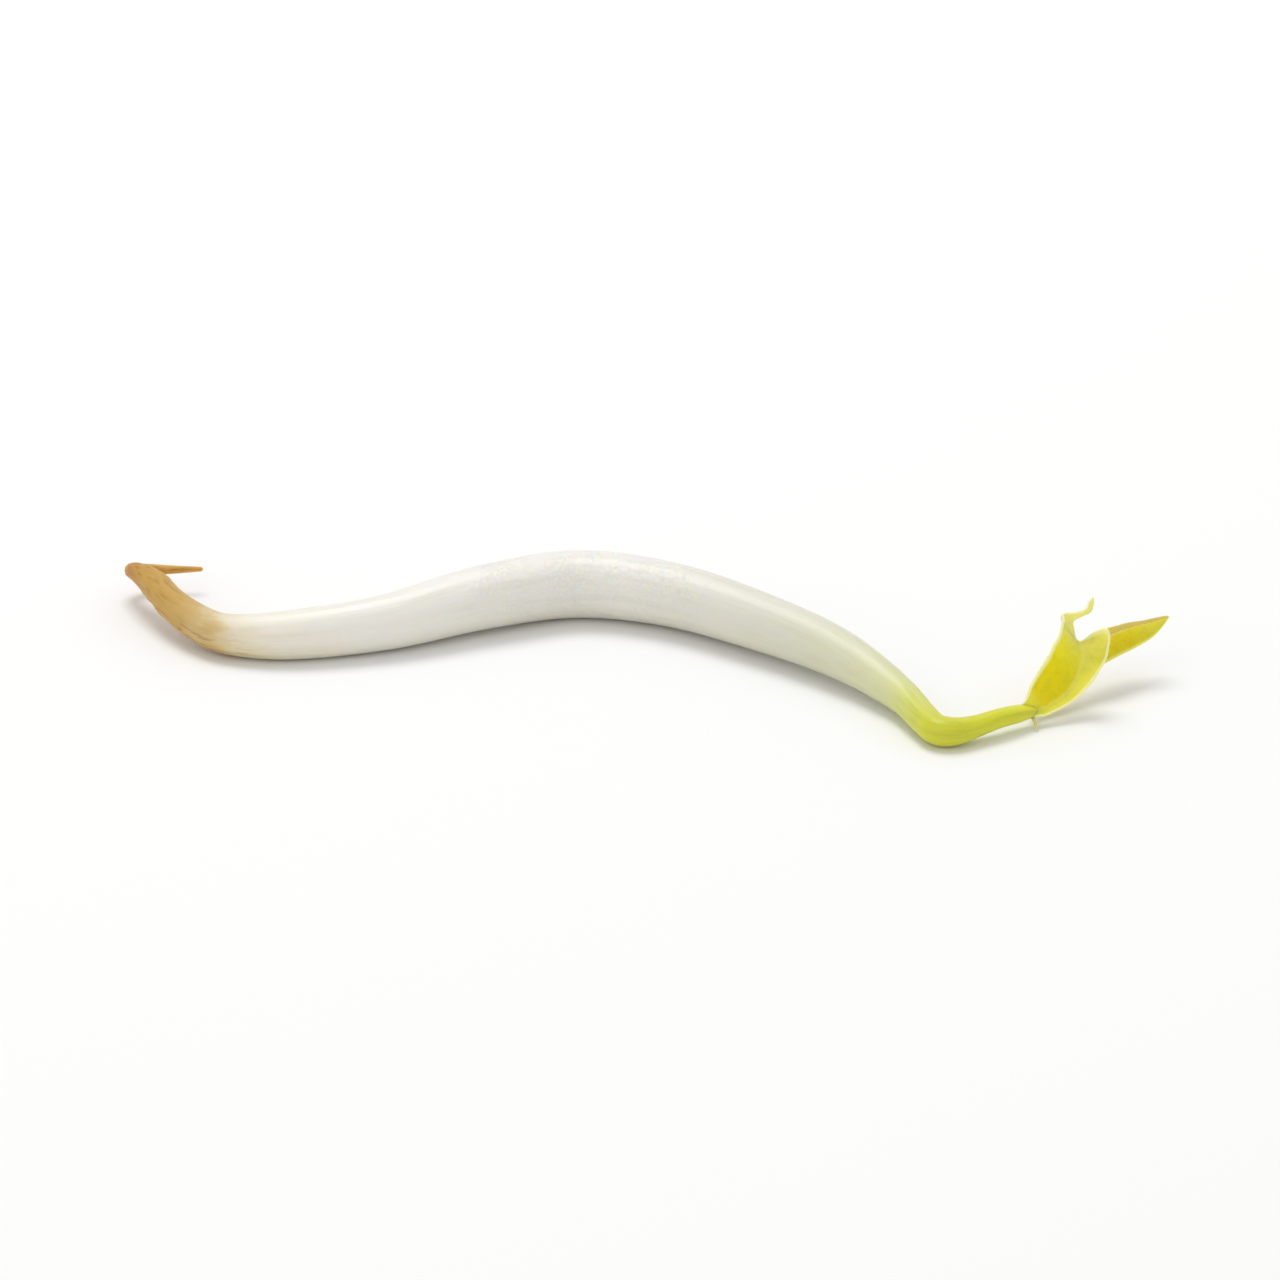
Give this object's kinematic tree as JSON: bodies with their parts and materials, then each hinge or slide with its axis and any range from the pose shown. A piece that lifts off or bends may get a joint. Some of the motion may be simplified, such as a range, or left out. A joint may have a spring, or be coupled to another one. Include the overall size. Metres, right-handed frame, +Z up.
{
  "type": "mung bean sprout",
  "caption": "Bean sprout lying on its side: a fat, curved white stem, a thin hooked tan root and a bent yellow-green shoot with small folded leaves.",
  "frame": {"origin": "middle of the underside of the box around the sprout, on the surface that it lies on", "axes": "+X from the root end towards the leaves, +Y towards the outside of the stem's main bend, +Z up from the surface"},
  "size_m": [0.0662, 0.0248, 0.0064],
  "materials": {
    "white_flesh": "satin",
    "root_skin": "satin",
    "shoot_skin": "satin",
    "leaf_skin": "satin"
  },
  "bodies": {
    "root": {"taproot": "root_skin", "hypocotyl": "white_flesh", "epicotyl": "shoot_skin", "leaf_front": "leaf_skin", "leaf_back": "leaf_skin"}
  },
  "joints": []
}
